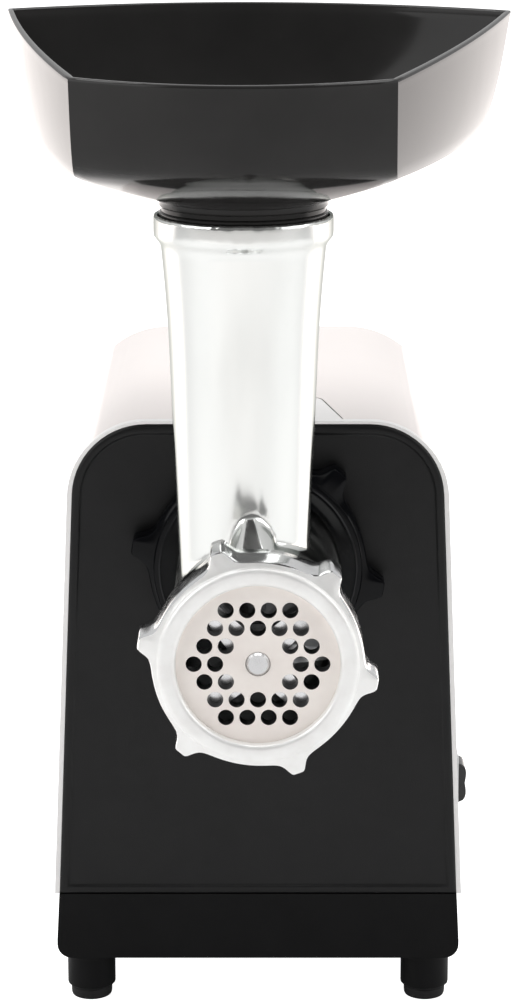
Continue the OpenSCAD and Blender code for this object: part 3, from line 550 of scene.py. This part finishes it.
TRAY_YAW = math.radians(-3.0)
TRAY_CREASE = 30.0
TRAY_WALL = 2.4
RIM_H = 176.3
RIM_SLOPE = 0.066
FRONT_HALF, REAR_HALF = 48.0, 84.5
FRONT_REACH, REAR_REACH = 55.5, 88.0
FRONT_BOW, SIDE_BOW, REAR_BOW = 13.0, 11.0, 18.0
WALL_DEPTH = 30.7
WALL_INSET = 12.1
WALL_LEVELS = 16
FLOOR_H = 134.3
FLOOR_R = 27.6
FLOOR_SHARES = (1.0, 0.97, 0.9, 0.8, 0.65, 0.5, 0.35, 0.2, 0.08)
NECK_LOW_H = 122.5
NECK_BORE_R = 22.4


def tray_inset(share):
    """How far the wall has moved in at a share of its depth: a steady lean, then a curl to the floor."""
    return WALL_INSET * (0.45 * share + 0.55 * (1 - math.sqrt(max(0.0, 1 - share ** 3.1))))


def tray_plan(wall, inset, front=32, side=26, rear=40):
    """Plan outline from the left front corner: the front, the right side, the rear and the left side."""
    fx = FRONT_HALF - 0.8 * wall
    fy = -FRONT_REACH + wall + 1.2 * inset
    rx = REAR_HALF - wall - inset
    ry = REAR_REACH - wall - 1.6 * inset

    def flank(t):
        return fx + (rx - fx) * t + SIDE_BOW * t * (1 - t), fy + (ry - fy) * t

    points = []
    for t in (i / front for i in range(front)):
        points.append((-fx + 2 * fx * t, fy - FRONT_BOW * 4 * t * (1 - t)))
    points += [flank(i / side) for i in range(side)]
    for t in (i / rear for i in range(rear)):
        points.append((rx - 2 * rx * t, ry + REAR_BOW * 4 * t * (1 - t)))
    points += [(-x, y) for x, y in (flank(i / side) for i in range(side, 0, -1))]
    return points


def tray_row(wall, inset, drop, tilt):
    """One level of the wall, drop millimetres under the rim at the front."""
    return [(x, y, RIM_H - drop + tilt * (y + FRONT_REACH)) for x, y in tray_plan(wall, inset)]


def tray_wall_rows(wall):
    """Levels from just under the rim to the floor: the outside, or the inside with the wall's thickness."""
    rows = []
    for share in (i / WALL_LEVELS for i in range(1, WALL_LEVELS + 1)):
        tilt = RIM_SLOPE * (1 - share ** 1.77)
        rows.append(tray_row(wall, tray_inset(share), (WALL_DEPTH - wall) * share, tilt))
    return rows


def to_circle(row, radius, height, share, bend):
    """The row drawn in towards a circle about the tray's neck."""
    out = []
    for x, y, z in row:
        a = math.atan2(y, x)
        out.append((x + (radius * math.cos(a) - x) * share, y + (radius * math.sin(a) - y) * share,
                    z + (height - z) * share ** bend))
    return out


def build_tray():
    """The tray: floor's underside, up the outside, over the rim, down the inside and round the neck."""
    lip = [(0.0, 0.9), (0.1, 0.45), (0.4, 0.12), (0.85, 0.0), (1.55, 0.0), (2.0, 0.12), (2.3, 0.45),
           (TRAY_WALL, 0.9)]
    outer, inner = tray_wall_rows(0.0), tray_wall_rows(TRAY_WALL)
    under, top = outer[-1], inner[-1]
    rows = [to_circle(under, FLOOR_R, FLOOR_H, share, 0.85) for share in FLOOR_SHARES]
    rows += reversed(outer)
    rows += [tray_row(wall, 0.0, drop, RIM_SLOPE) for wall, drop in lip]
    rows += inner
    rows += [to_circle(top, NECK_BORE_R + 1.2, FLOOR_H + TRAY_WALL, share, 1.4)
             for share in reversed(FLOOR_SHARES)]
    neck = [(NECK_BORE_R + 0.35, FLOOR_H + 2.0), (NECK_BORE_R, FLOOR_H + 1.1),
            (NECK_BORE_R, NECK_LOW_H + 0.4), (NECK_BORE_R + 0.4, NECK_LOW_H), (25.7, NECK_LOW_H),
            (26.3, 123.0), (26.4, 130.0), (26.2, 130.35), (25.7, 130.5), (25.7, 131.7), (26.2, 131.9),
            (26.45, 132.3), (26.45, 133.4), (26.6, 133.8), (27.0, 134.1)]
    directions = [math.atan2(y, x) for x, y, _ in under]
    for r, h in neck:
        rows.append([(r * math.cos(a), r * math.sin(a), h) for a in directions])
    place = Matrix.Translation((TUBE.x, TUBE.y, AXIS_Z)) @ Matrix.Rotation(TRAY_YAW, 4, "Z")
    verts = [place @ Vector((x * MM, y * MM, z * MM)) for row in rows for x, y, z in row]
    faces = grid_faces(len(rows), len(rows[0]), close_rows=True)
    stand_for(mesh_object("loading_tray", verts, faces, TRAY_CREASE), "tray", "tray_neck")


# ---------- grinding head ----------

HEAD_VOXEL = 0.9
HEAD_CREASE = 60.0
TUBE_LOW, TUBE_HIGH = 34, 119
TUBE_FLARE_H = 84
TUBE_WALL = 2.8
TUBE_REACH = 0.7
GUSSET_FADE, COLLAR_FADE = 12, 4


def tube_radius(h):
    """Outer radius of the feed tube h millimetres over the screw's axis: a slight taper, then a flare."""
    return 20 + 0.04 * h + 1.1 * max(0.0, (h - TUBE_FLARE_H) / 35) ** 2


def build_head():
    """The cast head with blended corners, made by a voxel remesh, and with a true round tube on it."""
    cast = ("head_body", "feed_tube")
    head = join("cast_head", [clean_copy(n, "cast_" + n) for n in cast])
    bm = bmesh.new()
    bm.from_mesh(head.data)
    bmesh.ops.triangulate(bm, faces=bm.faces)
    bm.to_mesh(head.data)
    bm.free()
    remesh = head.modifiers.new("remesh", "REMESH")
    remesh.mode = "VOXEL"
    remesh.voxel_size = HEAD_VOXEL * MM
    bake_modifiers(head)
    relax = head.modifiers.new("relax", "SMOOTH")
    relax.factor = 0.5
    relax.iterations = 6
    bake_modifiers(head)
    for vertex in head.data.vertices:
        h = (vertex.co.z - AXIS_Z) / MM
        if TUBE_LOW < h < TUBE_HIGH:
            across = Vector((vertex.co.x - TUBE.x, vertex.co.y - TUBE.y))
            r = across.length / MM
            hold = min(1.0, (h - TUBE_LOW) / GUSSET_FADE, (TUBE_HIGH - h) / COLLAR_FADE)
            for wanted in (tube_radius(h), tube_radius(h) - TUBE_WALL):
                if abs(r - wanted) < TUBE_REACH:
                    across *= 1 + (wanted / r - 1) * hold
                    vertex.co.x = TUBE.x + across.x
                    vertex.co.y = TUBE.y + across.y
    soften(head.data, HEAD_CREASE)
    stand_for(head, *cast)


# ---------- feet ----------

PAD_SEAT_R = 7.75


def build_feet():
    """Four legs with a rubber pad in each."""
    low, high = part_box("foot_pads")
    r = PAD_SEAT_R * MM
    spots = [Vector((x, y, 0.0)) for x in (low.x + r, high.x - r) for y in (low.y + r, high.y - r)]
    pad_profile = [(0, 0), (6.5, 0), (6.9, 0.2), (7.15, 0.7), (7.25, 1.6), (7.3, 3.4), (7.1, 3.7),
                   (7.1, 4.1), (7.7, 4.4), (7.7, 8.85), (0, 8.85)]
    leg_profile = [(0, 9.0), (7.8, 9.0), (7.8, 4.7), (8.2, 4.5), (8.45, 4.75), (8.5, 5.2), (8.5, 15.2),
                   (8.55, 15.5), (9.1, 15.7), (9.2, 16.0), (9.2, 17.0), (0, 17.0)]
    pads = [upright(f"pad_{i}", pad_profile, spot) for i, spot in enumerate(spots)]
    legs = [upright(f"leg_{i}", leg_profile, spot) for i, spot in enumerate(spots)]
    stand_for(join("foot_cushions", pads), "foot_pads")
    stand_for(join("foot_sleeves", legs), "foot_legs")


# ---------- housing shells and small pieces ----------

TONGUE_FROM_Y = 5.2
TONGUE_UNDER_TOP = 2
PLATE_HOLES_FROM, PLATE_HOLES_TO = 5, 25

# CAD node, name of its refined copy, width of the rounded edges in millimetres and segments across them
REFINED = [
    ("top_shell", "shell_skin", 0.35, 2), ("front_trim", "trim_band", 0.3, 2),
    ("rear_cover", "back_grille", 0.4, 2), ("base_tub", "base_shell", 0.5, 3),
    ("switch_bezel", "bezel_frame", 0.35, 2), ("switch_rocker", "rocker_cap", 0.5, 3),
    ("cord_gland", "gland_collar", 0.3, 2), ("cutting_plate", "grinding_disc", 0.18, 2),
    ("knife", "cross_knife", 0.2, 2),
]


def paint_tongue_seam_shade(trim):
    """Paints shade on the narrow sides of the trim's tongue: a dark material stands in for the shadow in the gap,
    so that the seam reads dark.
    """
    # Dark colour painted as the seam's shadow, not a colour of the trim itself
    trim.data.materials.append(plain_plastic("trim_seam_painted_shade", (0.05, 0.048, 0.047), 0.6))
    for face in trim.data.polygons:
        behind_band = face.center.y > PANEL_Y + TONGUE_FROM_Y * MM
        on_top = face.center.z > HOUSING_TOP - TONGUE_UNDER_TOP * MM
        looks_sideways = abs(face.normal.z) < 0.75
        if behind_band and on_top and looks_sideways:
            face.material_index = 1


def paint_hole_wall_shade(disc):
    """Gives the drilled holes of the cutting plate darker, unground walls, darkened further as painted shade
    inside the holes.
    """
    # Dark steel: partly the bored walls' duller finish, partly painted shade inside the holes
    disc.data.materials.append(steel("plate_bore_shade", 0.2, 0.4))
    for face in disc.data.polygons:
        from_axis = math.hypot(face.center.x - AXIS_X, face.center.z - AXIS_Z)
        looks_sideways = abs(face.normal.y) < 0.5
        if looks_sideways and PLATE_HOLES_FROM * MM < from_axis < PLATE_HOLES_TO * MM:
            face.material_index = 1


def build_refined():
    """CAD shapes with rounded edges."""
    for node, name, width, segments in REFINED:
        piece = stand_for(rounded(clean_copy(node, name), width, segments), node)
        if node == "front_trim":
            # the tongue's sides get painted shade for the seam's shadow
            paint_tongue_seam_shade(piece)
        if node == "cutting_plate":
            # the hole walls get darker steel that also paints the shade inside the holes
            paint_hole_wall_shade(piece)


# ---------- studio ----------

FLOOR_HALF = 14.0
LIT_MIDDLE = Vector((0.0, 0.0, 0.17))
CAMERA_BACK = 0.996
CAMERA_HEIGHT = 0.423
CAMERA_DOWN = 13.5

# Name, place, width in metres and power in watts
SOFTBOXES = [
    ("softbox_left", Vector((-1.1, -0.7, 0.9)), 1.0, 6.0),
    ("softbox_right", Vector((1.2, -0.5, 0.8)), 1.0, 4.6),
    ("softbox_top", Vector((0.0, 0.1, 1.5)), 1.2, 12.0),
]


def smooth_ramp(tree, source, start, end, low, high):
    """Socket that grows smoothly from low to high while the source goes from start to end."""
    node = tree.nodes.new("ShaderNodeMapRange")
    node.interpolation_type = "SMOOTHSTEP"
    node.inputs["From Min"].default_value = start
    node.inputs["From Max"].default_value = end
    node.inputs["To Min"].default_value = low
    node.inputs["To Max"].default_value = high
    tree.links.new(source, node.inputs["Value"])
    return node.outputs["Result"]


def full_when_seen(tree, strength):
    """Socket that is 1 for rays straight from the camera, and the given strength for all others."""
    path = tree.nodes.new("ShaderNodeLightPath")
    pick = tree.nodes.new("ShaderNodeMix")
    pick.inputs["B"].default_value = 1.0
    tree.links.new(strength, pick.inputs["A"])
    tree.links.new(path.outputs["Is Camera Ray"], pick.inputs["Factor"])
    return pick.outputs["Result"]


def build_floor():
    """White floor that glows: strongly behind the object, faintly and further off in front of it."""
    far = FLOOR_HALF
    corners = [(-far, -far, 0), (far, -far, 0), (far, far, 0), (-far, far, 0)]
    floor = mesh_object("studio_floor", corners, [(0, 1, 2, 3)])
    white = surface("floor_white", (0.93, 0.93, 0.93), 0.6, specular=0.2, mottle=0.004, mottle_scale=2.0)
    tree = white.node_tree
    shader = tree.nodes["Principled BSDF"]
    where = tree.nodes.new("ShaderNodeNewGeometry")
    parts = tree.nodes.new("ShaderNodeSeparateXYZ")
    tree.links.new(where.outputs["Position"], parts.inputs["Vector"])
    both = tree.nodes.new("ShaderNodeMath")
    tree.links.new(smooth_ramp(tree, parts.outputs["Y"], 0.0, 0.5, 0.0, 1.35), both.inputs[0])
    tree.links.new(smooth_ramp(tree, parts.outputs["Y"], -0.55, -0.95, 0.0, 0.16), both.inputs[1])
    tree.links.new(full_when_seen(tree, both.outputs["Value"]), shader.inputs["Emission Strength"])

    path = tree.nodes.new("ShaderNodeLightPath")
    warm = tree.nodes.new("ShaderNodeMix")
    warm.data_type = "RGBA"
    warm.inputs[MIX_FIRST].default_value = (1.0, 0.92, 0.88, 1.0)
    warm.inputs[MIX_SECOND].default_value = (1.0, 1.0, 1.0, 1.0)
    tree.links.new(path.outputs["Is Camera Ray"], warm.inputs["Factor"])
    tree.links.new(warm.outputs[MIX_RESULT], shader.inputs["Emission Color"])
    floor.data.materials.append(white)


def build_world():
    """White surroundings, dimmer in front of the object than behind it."""
    world = bpy.data.worlds.new("studio")
    bpy.context.scene.world = world
    world.use_nodes = True
    tree = world.node_tree
    background = tree.nodes["Background"]
    background.inputs["Color"].default_value = (1.0, 1.0, 1.0, 1.0)
    place = tree.nodes.new("ShaderNodeTexCoord")
    split = tree.nodes.new("ShaderNodeSeparateXYZ")
    tree.links.new(place.outputs["Generated"], split.inputs["Vector"])
    strength = smooth_ramp(tree, split.outputs["Y"], -0.85, -0.15, 0.16, 0.66)
    tree.links.new(full_when_seen(tree, strength), background.inputs["Strength"])


def build_softboxes():
    for name, spot, width, power in SOFTBOXES:
        data = bpy.data.lights.new(name, "AREA")
        data.shape = "SQUARE"
        data.size = width
        data.energy = power
        lamp = link(name, data)
        lamp.location = spot
        lamp.rotation_euler = (LIT_MIDDLE - spot).to_track_quat("-Z", "Y").to_euler()


def build_studio():
    build_floor()
    build_world()
    build_softboxes()
    view = bpy.context.scene.view_settings
    view.view_transform = "Standard"
    view.look = "None"


def build_camera():
    """The photograph's view: from the front, on the axis, looking down a little."""
    data = bpy.data.cameras.new("camera")
    data.sensor_fit = "VERTICAL"
    data.sensor_height = 36.0
    data.lens = 108.0
    camera = link("camera", data)
    camera.location = (0.0, PANEL_Y - CAMERA_BACK, CAMERA_HEIGHT)
    camera.rotation_euler = (math.radians(90.0 - CAMERA_DOWN), 0.0, 0.0)
    bpy.context.scene.camera = camera


build_camera()
build_studio()
build_tray()
build_ring_nut()
build_lock_nut()
build_front_panel()
build_head()
build_feet()
build_refined()
